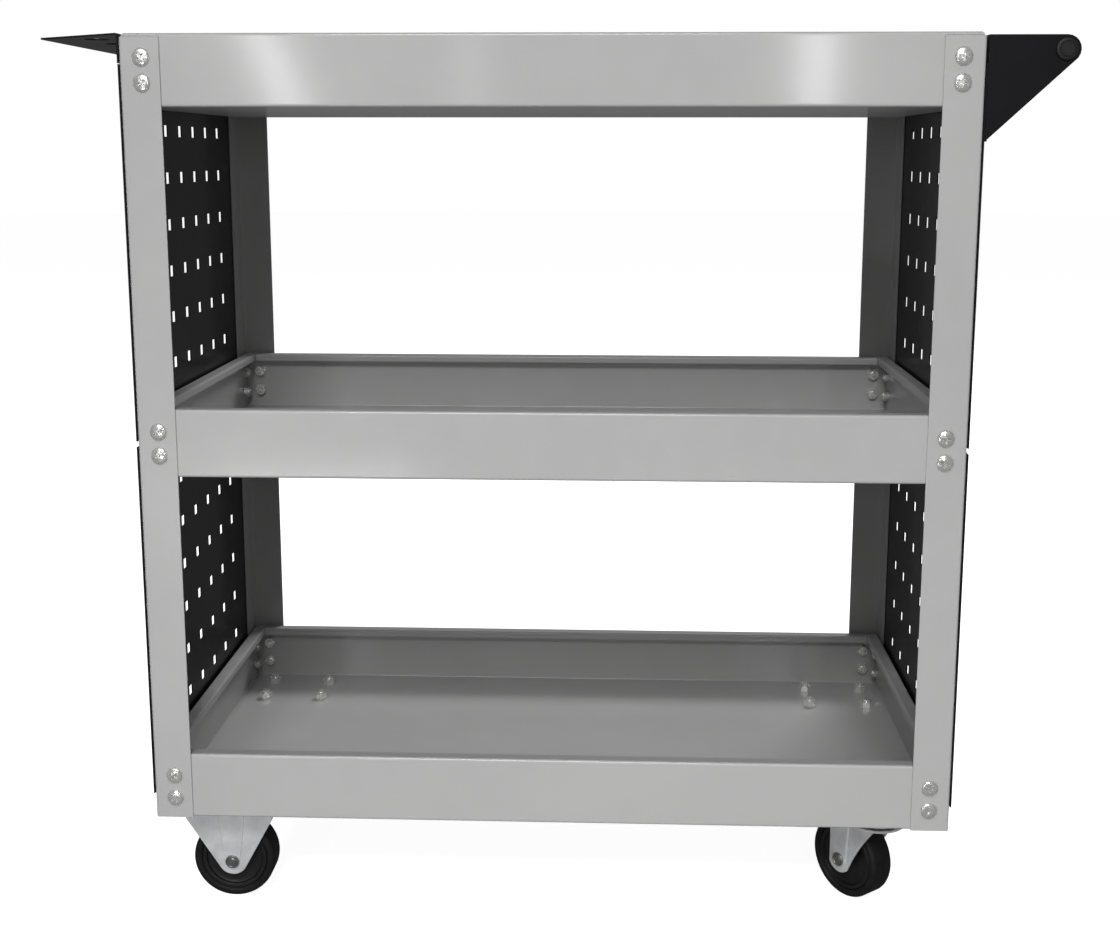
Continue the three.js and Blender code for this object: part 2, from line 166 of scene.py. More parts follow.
def powder_coat(name, light, dark, speck, rough, peel, gloss, specular):
    """Powder coat: slow shade drift, fine specks, rubbed patches and an orange-peel skin."""
    shader = Shader(name)
    drift = shader.ranged(shader.noise(3.2, 4.0), 0.32, 0.68)
    base = shader.mixed(drift, dark, light)
    grain = shader.ranged(shader.noise(900.0, 2.0), 0.60, 0.78, 0.0, 0.2)
    base = shader.mixed(grain, base, speck)
    rubs = shader.ranged(shader.noise(38.0, 3.0), 0.45, 0.85, 0.0, 0.15)
    base = shader.mixed(rubs, base, speck)
    shader.colour(base)
    shader.roughness(shader.ranged(shader.noise(14.0, 5.0), 0.3, 0.7, rough - 0.02, rough + 0.03))
    shader.bump((shader.noise(420.0, 2.0), peel, 0.00025), (shader.noise(26.0, 2.0), peel * 0.2, 0.0006))
    shader.surface.inputs["Specular IOR Level"].default_value = specular
    shader.surface.inputs["Coat Weight"].default_value = gloss
    shader.surface.inputs["Coat Roughness"].default_value = 0.12
    return shader.material


def zinc(name, light, dark, rough, metallic, relief, grain=(1.0, 1.0, 1.0)):
    """Bright zinc plate: mottled crystals, drawing lines and a faint warm passivation stain."""
    shader = Shader(name)
    mottle = shader.ranged(shader.noise(70.0, 4.0), 0.35, 0.65)
    base = shader.mixed(mottle, dark, light)
    stain = shader.ranged(shader.noise(22.0, 3.0), 0.55, 0.75, 0.0, 0.3)
    base = shader.mixed(stain, base, (0.62, 0.60, 0.55))
    shader.colour(base)
    shader.surface.inputs["Metallic"].default_value = metallic
    lines = shader.noise(260.0, 3.0, grain)
    shader.roughness(shader.ranged(lines, 0.3, 0.7, rough - 0.08, rough + 0.12))
    shader.bump((lines, 0.12 * relief, 0.0002), (shader.noise(40.0, 2.0), 0.1 * relief, 0.0006))
    return shader.material


def rubber(name):
    """Tyre rubber: near-black mottle with a film of dust."""
    shader = Shader(name)
    mottle = shader.ranged(shader.noise(60.0, 4.0), 0.35, 0.7)
    base = shader.mixed(mottle, (0.004, 0.004, 0.004), (0.008, 0.008, 0.008))
    dust = shader.ranged(shader.noise(210.0, 5.0), 0.6, 0.78, 0.0, 0.35)
    base = shader.mixed(dust, base, (0.018, 0.018, 0.017))
    shader.colour(base)
    shader.roughness(shader.ranged(shader.noise(120.0, 3.0), 0.3, 0.7, 0.52, 0.70))
    shader.surface.inputs["Specular IOR Level"].default_value = 0.3
    shader.bump((shader.noise(700.0, 3.0), 0.25, 0.0002), (shader.noise(90.0, 2.0), 0.12, 0.0004))
    return shader.material


def moulded(name):
    """Moulded black plastic: faint mottle, fine pale specks and a matt skin."""
    shader = Shader(name)
    mottle = shader.ranged(shader.noise(45.0, 3.0), 0.35, 0.65)
    base = shader.mixed(mottle, (0.004, 0.004, 0.004), (0.007, 0.007, 0.008))
    specks = shader.ranged(shader.noise(500.0, 3.0), 0.62, 0.8, 0.0, 0.3)
    shader.colour(shader.mixed(specks, base, (0.02, 0.02, 0.02)))
    shader.roughness(shader.ranged(shader.noise(80.0, 3.0), 0.3, 0.7, 0.36, 0.5))
    shader.bump((shader.noise(1100.0, 2.0), 0.2, 0.00015),)
    return shader.material


GREY = powder_coat("grey_powder_coat", (0.385, 0.385, 0.383), (0.350, 0.350, 0.349), (0.44, 0.44, 0.44),
                   rough=0.40, peel=0.07, gloss=0.5, specular=0.4)
BLACK = powder_coat("black_powder_coat", (0.007, 0.007, 0.008), (0.004, 0.004, 0.005), (0.016, 0.016, 0.017),
                    rough=0.45, peel=0.07, gloss=0.25, specular=0.12)
ZINC = zinc("zinc_plate", (0.88, 0.89, 0.90), (0.74, 0.75, 0.76),
            rough=0.38, metallic=0.62, relief=0.8, grain=(1.0, 1.0, 0.06))
BOLT_ZINC = zinc("zinc_fastener", (0.95, 0.95, 0.94), (0.85, 0.85, 0.84),
                 rough=0.22, metallic=0.80, relief=0.1)
AXLE_ZINC = zinc("zinc_axle", (0.30, 0.30, 0.30), (0.22, 0.22, 0.22),
                 rough=0.40, metallic=0.90, relief=0.3)
RUBBER = rubber("tyre_rubber")
PLASTIC = moulded("moulded_plastic")


# ---- mesh helpers ----
def flat_faces(piece):
    """Keeps large faces flat in shading where small bends meet them."""
    weighted = piece.modifiers.new("weighted", "WEIGHTED_NORMAL")
    weighted.keep_sharp = True


def added(name, bm, material, body, stands_for=(), smooth=35):
    """Makes a piece from bm, shades it smooth below an edge angle, and lets it ride on a body."""
    bmesh.ops.recalc_face_normals(bm, faces=bm.faces)
    mesh = bpy.data.meshes.new(name)
    bm.to_mesh(mesh)
    bm.free()
    mesh.shade_smooth()
    mesh.set_sharp_from_angle(angle=math.radians(smooth))
    mesh.materials.append(material)
    piece = bpy.data.objects.new(name, mesh)
    bpy.context.scene.collection.objects.link(piece)
    flat_faces(piece)
    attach(piece, body)
    if stands_for:
        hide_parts(*stands_for)
    return piece


def turned(bm, profile, segments, matrix=Matrix()):
    """Adds a solid of revolution about local Z from a profile of (radius, height)."""
    rings = []
    for radius, height in profile:
        if radius < ON_AXIS:
            rings.append([bm.verts.new(matrix @ Vector((0, 0, height)))])
            continue
        turn = [2 * math.pi * i / segments for i in range(segments)]
        rings.append([bm.verts.new(matrix @ Vector((radius * math.cos(a), radius * math.sin(a), height)))
                      for a in turn])
    for below, above in zip(rings, rings[1:]):
        for i in range(segments):
            j = (i + 1) % segments
            quad = [ring[k % len(ring)] for ring, k in ((below, i), (below, j), (above, j), (above, i))]
            corners = list(dict.fromkeys(quad))
            if len(corners) > 2:
                bm.faces.new(corners)


def ring_closed(bm, profile, segments, matrix=Matrix()):
    """Adds a ring: a closed profile of (radius, height) turned about local Z."""
    turned(bm, [*profile, profile[0]], segments, matrix)
    bmesh.ops.remove_doubles(bm, verts=bm.verts, dist=SAME_PLACE)


def arc(cx, cy, radius, start, end, steps):
    """Points on an arc, angles in degrees."""
    angles = [math.radians(start + (end - start) * i / steps) for i in range(steps + 1)]
    return [(cx + radius * math.cos(a), cy + radius * math.sin(a)) for a in angles]


def prism(bm, outline, low, high, matrix=Matrix()):
    """Adds an outline of (x, z) points pushed along local Y from low to high."""
    near = [bm.verts.new(matrix @ Vector((x, low, z))) for x, z in outline]
    far = [bm.verts.new(matrix @ Vector((x, high, z))) for x, z in outline]
    bm.faces.new(near)
    bm.faces.new(far[::-1])
    for i in range(len(outline)):
        j = (i + 1) % len(outline)
        bm.faces.new((near[j], near[i], far[i], far[j]))


def rounded(bm, width, segments=2, angle=40):
    """Bevels every edge sharper than an angle."""
    bmesh.ops.recalc_face_normals(bm, faces=bm.faces)
    sharp = [e for e in bm.edges if len(e.link_faces) == 2 and e.calc_face_angle(0) > math.radians(angle)]
    bmesh.ops.bevel(bm, geom=sharp, offset=width, offset_type="OFFSET", segments=segments, profile=0.5,
                    affect="EDGES", clamp_overlap=True)


def combined(bm, tool, operation="DIFFERENCE"):
    """Returns bm with tool cut out of it, or what the two share."""
    pair = []
    for source in (bm, tool):
        bmesh.ops.recalc_face_normals(source, faces=source.faces)
        mesh = bpy.data.meshes.new("carving")
        source.to_mesh(mesh)
        source.free()
        thing = bpy.data.objects.new("carving", mesh)
        bpy.context.scene.collection.objects.link(thing)
        pair.append(thing)
    blank, knife = pair
    cut = blank.modifiers.new("cut", "BOOLEAN")
    cut.object = knife
    cut.operation = operation
    cut.solver = "EXACT"
    result = bmesh.new()
    result.from_object(blank, bpy.context.evaluated_depsgraph_get())
    for thing in pair:
        mesh = thing.data
        bpy.data.objects.remove(thing)
        bpy.data.meshes.remove(mesh)
    if not result.faces:
        raise ValueError("a cut left nothing")
    return result


def copies(source, places):
    """One bmesh that holds a copy of source at each matrix in places."""
    mesh = bpy.data.meshes.new("copies")
    source.to_mesh(mesh)
    source.free()
    result = bmesh.new()
    for place in places:
        before = len(result.verts)
        result.from_mesh(mesh)
        result.verts.ensure_lookup_table()
        bmesh.ops.transform(result, matrix=place, verts=result.verts[before:])
    bpy.data.meshes.remove(mesh)
    return result


def joined(bm, extra, matrix):
    """Adds bmesh extra to bm at a matrix."""
    bmesh.ops.transform(extra, matrix=matrix, verts=extra.verts)
    mesh = bpy.data.meshes.new("extra")
    extra.to_mesh(mesh)
    extra.free()
    bm.from_mesh(mesh)
    bpy.data.meshes.remove(mesh)


def facing(direction, place):
    """Matrix that turns local Z to a direction and moves the origin to a place."""
    return Matrix.Translation(Vector(place)) @ Vector(direction).to_track_quat("Z", "Y").to_matrix().to_4x4()


# ---- fasteners ----
def pan_head_screw(length=9 * MM):
    """M6 pan head, its seat at the origin and its head towards +Z, with a cross recess."""
    head, height, shank = 7 * MM, 2.8 * MM, 2.9 * MM
    dome = [(head * math.cos(a), height * (0.35 + 0.65 * math.sin(a)))
            for a in (math.radians(10 * i) for i in range(1, 9))]
    profile = [(0, -length), (shank * 0.8, -length), (shank, -length + 0.6 * MM), (shank, 0),
               (head * 0.94, 0), (head, 0.25 * MM), (head, 0.4 * height), *dome, (0, height)]
    bm = bmesh.new()
    turned(bm, profile, 28)
    for turn in (0, 90):
        mouth, foot, floor = 4.9 * MM, 3.0 * MM, 0.4 * MM
        wing = [(-mouth, height + MM), (-foot, floor), (foot, floor), (mouth, height + MM)]
        slot = bmesh.new()
        prism(slot, wing, -0.9 * MM, 0.9 * MM, Matrix.Rotation(math.radians(turn + 4), 4, "Z"))
        bm = combined(bm, slot)
    return bm


def hex_nut(across=10 * MM, height=5 * MM, bore=2.9 * MM, tail=1.5 * MM):
    """Hex nut with the end of its bolt standing out, seated at the origin, towards +Z."""
    radius = across / math.sqrt(3)
    bm = bmesh.new()
    turned(bm, [(0, 0), (radius * 0.95, 0), (radius * 1.001, 0.06 * height), (radius * 1.001, 0.86 * height),
                (radius * 0.88, height), (bore + 0.8 * MM, height), (bore + 0.3 * MM, height * 0.93),
                (bore, height * 0.93), (bore, height + tail - 0.4 * MM), (bore - 0.5 * MM, height + tail),
                (0, height + tail)], 36)
    sides = bmesh.new()
    corners = [(radius * math.cos(math.radians(60 * i + 3)), radius * math.sin(math.radians(60 * i + 3)))
               for i in range(6)]
    prism(sides, corners, -MM, height + tail + MM, Matrix.Rotation(math.radians(90), 4, "X"))
    return combined(bm, sides, "INTERSECT")


# ---- pressed trays ----
def tray_profile(floor, top, steps=6):
    """(inset from the outside, height) from under the floor, up the wall, over the lip and back inside."""
    sheet, lip, hem, bend = (TRAY[key] for key in ("sheet", "lip", "hem", "bend"))
    inner = bend - sheet
    return [
        *arc(bend, floor + bend, bend, 270, 180, steps),
        *arc(bend, top - bend, bend, 180, 90, steps),
        *arc(lip - bend, top - bend, bend, 90, 0, steps),
        (lip, top - hem),
        (lip - sheet, top - hem),
        *arc(lip - bend, top - bend, inner, 0, 90, steps),
        *arc(bend, top - bend, inner, 90, 180, steps),
        *arc(bend, floor + bend, inner, 180, 270, steps),
    ]


def pressed_tray(level):
    """Tray pan with a mitred wall and a lip that is butted at each corner."""
    low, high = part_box(f"tray_{level}")
    half_x, half_y = (high.x - low.x) / 2, (high.y - low.y) / 2
    bm = bmesh.new()
    rings = [[bm.verts.new((CENTRE_X + sx * (half_x - inset), sy * (half_y - inset), z))
              for sx, sy in ((-1, -1), (1, -1), (1, 1), (-1, 1))]
             for inset, z in tray_profile(low.z, high.z)]
    for below, above in zip(rings, rings[1:]):
        for i in range(4):
            j = (i + 1) % 4
            bm.faces.new((below[i], below[j], above[j], above[i]))
    bm.faces.new(rings[0][::-1])
    bm.faces.new(rings[-1])
    seams = bmesh.new()
    lip, seam = TRAY["lip"], TRAY["seam"]
    for sx in SIDES.values():
        for sy in ENDS.values():
            x = CENTRE_X + sx * (half_x - lip - seam)
            start, end = sorted((sy * (half_y - lip - MM), sy * (half_y - 0.5 * MM)))
            outline = [(x - seam / 2, high.z - TRAY["hem"] - MM), (x + seam / 2, high.z - TRAY["hem"] - MM),
                       (x + seam / 2, high.z + MM), (x - seam / 2, high.z + MM)]
            prism(seams, outline, start, end)
    return added(f"pressed_tray_{level}", combined(bm, seams), GREY, "root", [f"tray_{level}"])


# ---- casters ----
def squeezed(outline, centre, amount):
    """Moves each point of an outline towards a centre by an amount."""
    moved = []
    for x, z in outline:
        away = Vector((x - centre[0], z - centre[1]))
        away *= max(0.0, 1 - amount / max(away.length, 1e-6))
        moved.append((centre[0] + away.x, centre[1] + away.y))
    return moved


def pressed_rib(bm, outline, centre, seat, height, side, matrix):
    """Adds a rib with sloping sides that stands out from a leg."""
    levels = [(0, -0.4 * MM), (0, 0), (0.9 * MM, height * 0.7), (1.9 * MM, height)]
    rings = []
    for inset, rise in levels:
        y = side * (seat + rise)
        rings.append([bm.verts.new(matrix @ Vector((x, y, z))) for x, z in squeezed(outline, centre, inset)])
    for below, above in zip(rings, rings[1:]):
        for i in range(len(outline)):
            j = (i + 1) % len(outline)
            bm.faces.new((below[i], below[j], above[j], above[i]))
    bm.faces.new(rings[0][::-1])
    bm.faces.new(rings[-1])


def leg_pair(bm, outline, rib, rib_centre, matrix):
    """Adds both legs of a fork, with rounded sheet edges and pressed ribs, round the caster's own origin."""
    outside = LEG["inside"] + LEG["sheet"]
    for side in (-1, 1):
        leg = bmesh.new()
        start, end = sorted((side * LEG["inside"], side * outside))
        prism(leg, outline, start, end)
        rounded(leg, 0.7 * MM, 3, 60)
        pressed_rib(leg, rib, rib_centre, outside, LEG["rib"], side, Matrix())
        joined(bm, leg, matrix)


def rib_outline(axle_x, top_half, top):
    """Rib round the axle's eye that widens towards the top of its leg."""
    eye = arc(axle_x, WHEEL_Z, LEG["eye"] - MM, 180, 360, 12)
    return [*eye, (axle_x + top_half, top), (axle_x - top_half, top)]


def mounting_plate(bm, matrix, length=84 * MM, width=62 * MM, corner=7 * MM):
    """Adds a caster plate with rounded corners."""
    outline = []
    for sx, sy, start in ((1, 1, 0), (-1, 1, 90), (-1, -1, 180), (1, -1, 270)):
        outline += arc(sx * (length / 2 - corner), sy * (width / 2 - corner), corner, start, start + 90, 6)
    plate = bmesh.new()
    prism(plate, outline, -PLATE_TOP, -PLATE_TOP + PLATE_SHEET, Matrix.Rotation(math.radians(-90), 4, "X"))
    rounded(plate, 0.5 * MM, 2, 60)
    joined(bm, plate, matrix)


# ---- wheels ----
def wheel_profiles():
    """Tyre ring and hub ring, both as (radius, height) turned about the axle."""
    radius, half, shoulder, rim = (WHEEL[key] for key in ("radius", "half", "shoulder", "rim"))
    side = [(rim, -half + 1.5 * MM), (rim + 0.9 * MM, -half + 0.5 * MM), (31.6 * MM, -half + 0.1 * MM),
            (32.4 * MM, -half), *arc(radius - shoulder, -half + shoulder, shoulder, 275, 355, 7)]
    crown = [(radius, -half + shoulder + MM), (radius, -0.6 * MM), (radius - 0.25 * MM, -0.3 * MM)]
    lower = [*side, *crown]
    tyre = [*lower, *[(r, -h) for r, h in reversed(lower)]]
    rim_half = half - 1.2 * MM
    boss_half, web_half = 13.6 * MM, rim_half - 3.2 * MM
    half_hub = [(4.2 * MM, boss_half), (8.2 * MM, boss_half), (9 * MM, 13 * MM),
                (9.6 * MM, rim_half - 2.4 * MM), (11 * MM, web_half), (23 * MM, web_half),
                (25.4 * MM, rim_half - 2.2 * MM),
                (26.2 * MM, rim_half - 0.4 * MM), (27 * MM, rim_half), (29.4 * MM, rim_half),
                (30 * MM, rim_half - 0.5 * MM)]
    hub = [*half_hub, *[(r, -h) for r, h in reversed(half_hub)]]
    return tyre, hub


def wheel_matrix(name):
    """Stands a wheel's own Z along its axle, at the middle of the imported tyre."""
    joint = next(j for j in frame["joints"] if j["child"] == name)
    return facing(joint["axis"], middle(name.replace("wheel_", "caster_") + "_tyre"))


def add_wheel(name):
    body = f"wheel_{name}"
    matrix = wheel_matrix(body)
    tyre, hub = wheel_profiles()
    bm = bmesh.new()
    ring_closed(bm, tyre, 96, matrix)
    added(f"tyre_{name}", bm, RUBBER, body, [f"caster_{name}_tyre"], 40)
    bm = bmesh.new()
    ring_closed(bm, hub, 72, matrix)
    added(f"hub_{name}", bm, PLASTIC, body, [f"caster_{name}_hub"], 30)


# ---- axles: low domed head in front, nut behind ----
def add_axle(name, body, axis, centre):
    """Adds a caster's axle bolt, its head along axis, and the nut on its far end."""
    seat = LEG["inside"] + LEG["sheet"] + LEG["rib"] + GAP
    head = [(0, 0), (5.7 * MM, 0), (6.2 * MM, 0.4 * MM), (6.2 * MM, 1.2 * MM), (5.6 * MM, 1.9 * MM),
            (4.7 * MM, 2 * MM), (4.2 * MM, 1.5 * MM), (3.7 * MM, 1.5 * MM), (3.2 * MM, 1.9 * MM),
            (0, 2.0 * MM)]
    thread_end = 2 * seat + 8.5 * MM
    shank = [(0, 0), (3.9 * MM, 0), (3.9 * MM, 2 * seat + 8 * MM), (3.4 * MM, thread_end), (0, thread_end)]
    outward = facing(axis, centre + Vector(axis) * seat)
    inward = facing(-Vector(axis), centre + Vector(axis) * seat)
    bm = bmesh.new()
    turned(bm, head, 36, outward)
    turned(bm, shank, 32, inward)
    added(f"axle_bolt_{name}", bm, AXLE_ZINC, body, [f"caster_{name}_axle_bolt"])
    behind = facing(-Vector(axis), centre - Vector(axis) * seat)
    nut = copies(hex_nut(13 * MM, 6 * MM, 4 * MM, 0.4 * MM), [behind])
    added(f"axle_nut_{name}", nut, BOLT_ZINC, body, [f"caster_{name}_axle_nut"])


# ---- caster forks ----
def fixed_leg():
    """Outline of a fixed fork's leg: wide under the plate, round at the axle."""
    top, shoulder = FIXED["top"], FIXED["top"] - 15 * MM
    return [*arc(FIXED["axle"], WHEEL_Z, 13.6 * MM, 213, 335, 18), (36 * MM, shoulder), (36 * MM, top),
            (-44 * MM, top), (-44 * MM, shoulder)]


def swivel_leg(trail=TRAIL, top=82.3 * MM):
    """Outline of a swivel fork's leg: curved in front, upright behind the axle."""
    start, bend = Vector((-14 * MM, top - 2.5 * MM)), Vector((5 * MM, 57 * MM))
    end = Vector((trail - 10 * MM, 31.5 * MM))
    curve = [start.lerp(bend, t).lerp(bend.lerp(end, t), t) for t in (i / 12 for i in range(13))]
    return [(-14 * MM, top), *[(p.x, p.y) for p in curve], *arc(trail + MM, 37 * MM, 13 * MM, 220, 335, 16),
            (trail + 13 * MM, top)]


def add_fixed_caster(end_name):
    name = f"{end_name}_left"
    plate = middle(f"caster_{name}_fork")
    centre_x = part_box(f"caster_{name}_fork")[0].x + FIXED["plate_reach"]
    place = Matrix.Translation((centre_x, plate.y, 0))
    bm = bmesh.new()
    mounting_plate(bm, place)
    rib = rib_outline(FIXED["axle"], 14 * MM, 90 * MM)
    leg_pair(bm, fixed_leg(), rib, (FIXED["axle"], 70 * MM), place)
    added(f"fork_{name}", bm, ZINC, "root", [f"caster_{name}_fork"], 30)
    tyre = middle(f"caster_{name}_tyre")
    add_axle(name, "root", (0, -1, 0), Vector((tyre.x, plate.y, WHEEL_Z)))
    add_wheel(name)


def swivel_fork(turn):
    """Legs, crown ring and the bridge between them."""
    bm = bmesh.new()
    leg_pair(bm, swivel_leg(), rib_outline(TRAIL, 11 * MM, 79 * MM), (TRAIL, 62 * MM), turn)
    under = CROWN_TOP - CROWN_SHEET
    crown = [(5.5 * MM, under), (26 * MM, under), (27 * MM, under + 0.6 * MM),
             (27 * MM, CROWN_TOP - 0.6 * MM), (26.4 * MM, CROWN_TOP), (5.5 * MM, CROWN_TOP)]
    ring_closed(bm, crown, 56, turn)
    bridge = bmesh.new()
    outside = LEG["inside"] + LEG["sheet"]
    span = [(8 * MM, under), (39 * MM, under), (39 * MM, CROWN_TOP), (8 * MM, CROWN_TOP)]
    prism(bridge, span, -outside, outside)
    rounded(bridge, 0.6 * MM, 2, 60)
    joined(bm, bridge, turn)
    return bm


def add_swivel_caster(end_name):
    name = f"{end_name}_right"
    body = f"swivel_{name}"
    joint = next(j for j in frame["joints"] if j["name"] == body)
    pivot = Vector((joint["pos_m"][0], joint["pos_m"][1], 0))
    tyre = middle(f"caster_{name}_tyre")
    out = Vector((tyre.x - pivot.x, tyre.y - pivot.y, 0)).normalized()
    turn = Matrix.Translation(pivot) @ Matrix.Rotation(math.atan2(out.y, out.x), 4, "Z")
    added(f"fork_{name}", swivel_fork(turn), ZINC, body, [f"caster_{name}_fork"], 30)
    side = Vector((-out.y, out.x, 0))
    bolt, nut = middle(f"caster_{name}_axle_bolt"), middle(f"caster_{name}_axle_nut")
    head_side = side if bolt.dot(side) > nut.dot(side) else -side
    add_axle(name, body, tuple(head_side), Vector((tyre.x, tyre.y, WHEEL_Z)))
    add_wheel(name)
    add_swivel_head(name, pivot)


def add_swivel_head(name, pivot):
    """Plate, ball race, balls and kingpin, which stay with the tray."""
    place = Matrix.Translation(pivot)
    bm = bmesh.new()
    mounting_plate(bm, place)
    added(f"plate_{name}", bm, ZINC, "root", [f"caster_{name}_plate"], 30)
    top = PLATE_TOP - PLATE_SHEET - GAP
    race = [(8 * MM, top - 2 * MM), (20 * MM, top - 2 * MM), (22 * MM, top - 3.5 * MM), (23 * MM, 84.3 * MM),
            (25 * MM, 84.3 * MM), (25 * MM, top - 2.4 * MM), (23.6 * MM, top - 0.6 * MM), (22 * MM, top),
            (8 * MM, top)]
    bm = bmesh.new()
    ring_closed(bm, race, 56, place)
    added(f"race_{name}", bm, ZINC, "root", [f"caster_{name}_race"], 50)
    balls = bmesh.new()
    height = (top - 2 * MM + CROWN_TOP) / 2
    count, ring, radius = (BALLS[key] for key in ("count", "ring", "radius"))
    tilts = [math.radians(-90 + 18 * k) for k in range(11)]
    half_circle = [(radius * math.cos(a) if abs(a) < 1.57 else 0, radius * math.sin(a)) for a in tilts]
    for i in range(count):
        angle = 2 * math.pi * i / count
        spot = place @ Matrix.Translation((ring * math.cos(angle), ring * math.sin(angle), height))
        turned(balls, half_circle, 16, spot)
    added(f"balls_{name}", balls, BOLT_ZINC, "root", [f"caster_{name}_balls"])
    seat = 79.7 * MM
    pin = [(0, seat - 3 * MM), (4.5 * MM, seat - 3 * MM), (6.8 * MM, seat - 2.4 * MM), (8 * MM, seat - MM),
           (8 * MM, seat), (4.9 * MM, seat), (4.9 * MM, 95 * MM), (4.4 * MM, 95.4 * MM), (0, 95.4 * MM)]
    bm = bmesh.new()
    turned(bm, pin, 36, place)
    added(f"kingpin_{name}", bm, BOLT_ZINC, "root", [f"caster_{name}_kingpin"])


# ---- push handle ----
def add_handle():
    """Adds the grip tube and the plug at each of its ends."""
    low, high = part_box("handle_tube")
    centre = (low + high) / 2
    along = Matrix.Rotation(math.radians(90), 4, "X")
    place = Matrix.Translation(centre) @ along
    radius, wall = (high.x - low.x) / 2, 1.5 * MM
    half = (high.y - low.y) / 2
    soft = 0.35 * MM
    bore = radius - wall
    tube = [(bore, -half + soft), (bore + soft, -half), (radius - soft, -half), (radius, -half + soft),
            (radius, half - soft), (radius - soft, half), (bore + soft, half), (bore, half - soft)]
    bm = bmesh.new()
    ring_closed(bm, tube, 64, place)
    added("grip_tube", bm, BLACK, "root", ["handle_tube"], 30)
    for end_name, end in ENDS.items():
        outward = Matrix.Rotation(math.radians(90 if end < 0 else -90), 4, "X")
        face = Matrix.Translation((centre.x, end * (HALF_Y + GAP), centre.z)) @ outward
        cap = [(0, -10 * MM), (4.2 * MM, -10 * MM), (4.5 * MM, -9.4 * MM), (4.5 * MM, 0), (9 * MM, 0),
               (9 * MM, 1.2 * MM), (8.4 * MM, 1.8 * MM), (7.6 * MM, 2 * MM), (6.6 * MM, 2 * MM),
               (6.3 * MM, 1.3 * MM), (5.7 * MM, 1.3 * MM),
               (5.4 * MM, 2 * MM), (0, 2 * MM)]
        bm = bmesh.new()
        turned(bm, cap, 40, face)
        added(f"grip_plug_{end_name}", bm, PLASTIC, "root", [f"handle_cap_{end_name}"], 30)


# ---- fasteners through the posts, trays and caster plates ----
def add_tray_fasteners(level, top):
    """Sixteen screws and nuts hold a tray: two on each face of each post."""
    for face in ("front", "rear", "left", "right"):
        heads, nuts = [], []
        for drop in SCREW_DROPS:
            for side in (-1, 1):
                z = top - drop
                if face in ENDS:
                    half, outer = HALF_Y, HALF_Y + GAP
                    out = Vector((0, ENDS[face], 0))
                    seat = Vector((CENTRE_X + side * (HALF_X - SCREW_INSET), ENDS[face] * outer, z))
                else:
                    half, outer = HALF_X, HALF_X + side_cover(face, z) + GAP
                    out = Vector((SIDES[face], 0, 0))
                    seat = Vector((CENTRE_X + SIDES[face] * outer, side * (HALF_Y - SCREW_INSET), z))
                inside = seat - out * outer
                inner = half - POST_WALL - TRAY["sheet"] - GAP
                twist = Matrix.Rotation(math.radians(37 * (len(heads) + 1) + 90 * SCREW_TWIST[face]), 4, "Z")
                heads.append(facing(out, seat) @ twist)
                nuts.append(facing(-out, inside + out * inner) @ twist)
        stands_for = [f"screw_{level}_{side}_{place}" for side in SIDES for place in ("upper", "lower")]
        added(f"screws_{level}_{face}", copies(pan_head_screw(), heads), BOLT_ZINC, "root",
              stands_for if face == "front" else ())
        added(f"nuts_{level}_{face}", copies(hex_nut(), nuts), BOLT_ZINC, "root", ())


def side_cover(face, z):
    """Thickness of the sheets that lie over a post's side where a screw passes."""
    sheets = [node for node in NODES if node.startswith(f"peg_panel_{face}")]
    sheets += ["tool_rack"] if face == "left" else ["handle_bracket_front"]
    cover = 0.0
    for node in sheets:
        low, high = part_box(node)
        if low.z < z < high.z:
            thick = PANEL_SHEET if node.startswith("peg") else BRACKET_SHEET
            cover += thick + GAP
    return cover


def add_caster_bolts(name, centre):
    """Four bolts up through a caster plate, with their nuts on the bottom tray's floor."""
    heads, nuts = [], []
    across, deep = PLATE_BOLTS
    for sx in (-1, 1):
        for sy in (-1, 1):
            spot = Vector((centre.x + sx * across, centre.y + sy * deep, 0))
            twist = Matrix.Rotation(math.radians(25 + 50 * sx + 20 * sy), 4, "Z")
            heads.append(facing((0, 0, -1), (spot.x, spot.y, PLATE_TOP - PLATE_SHEET - GAP)) @ twist)
            nuts.append(facing((0, 0, 1), (spot.x, spot.y, TRAY_FLOOR + GAP)) @ twist)
    bolts = copies(hex_nut(12 * MM, 3.6 * MM, 3.9 * MM, 0), heads)
    added(f"plate_bolts_{name}", bolts, BOLT_ZINC, "root", ())
    lock_nuts = copies(hex_nut(12 * MM, 6 * MM, 3.8 * MM, 2.5 * MM), nuts)
    added(f"plate_nuts_{name}", lock_nuts, BOLT_ZINC, "root", ())


# ---- build ----
def polished(node, material, width=0.0):
    """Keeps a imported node's shape: joins its facets, softens its edges by a width and gives it a finish."""
    piece = NODES[node]
    piece.data.materials.clear()
    piece.data.materials.append(material)
    weld = piece.modifiers.new("weld", "WELD")
    weld.merge_threshold = 1e-5
    if not width:
        return
    flat = piece.modifiers.new("flat", "DECIMATE")
    flat.decimate_type = "DISSOLVE"
    flat.angle_limit = math.radians(1)
    edge = piece.modifiers.new("edge", "BEVEL")
    edge.width = width
    edge.segments = 2
    edge.limit_method = "ANGLE"
    edge.angle_limit = math.radians(50)


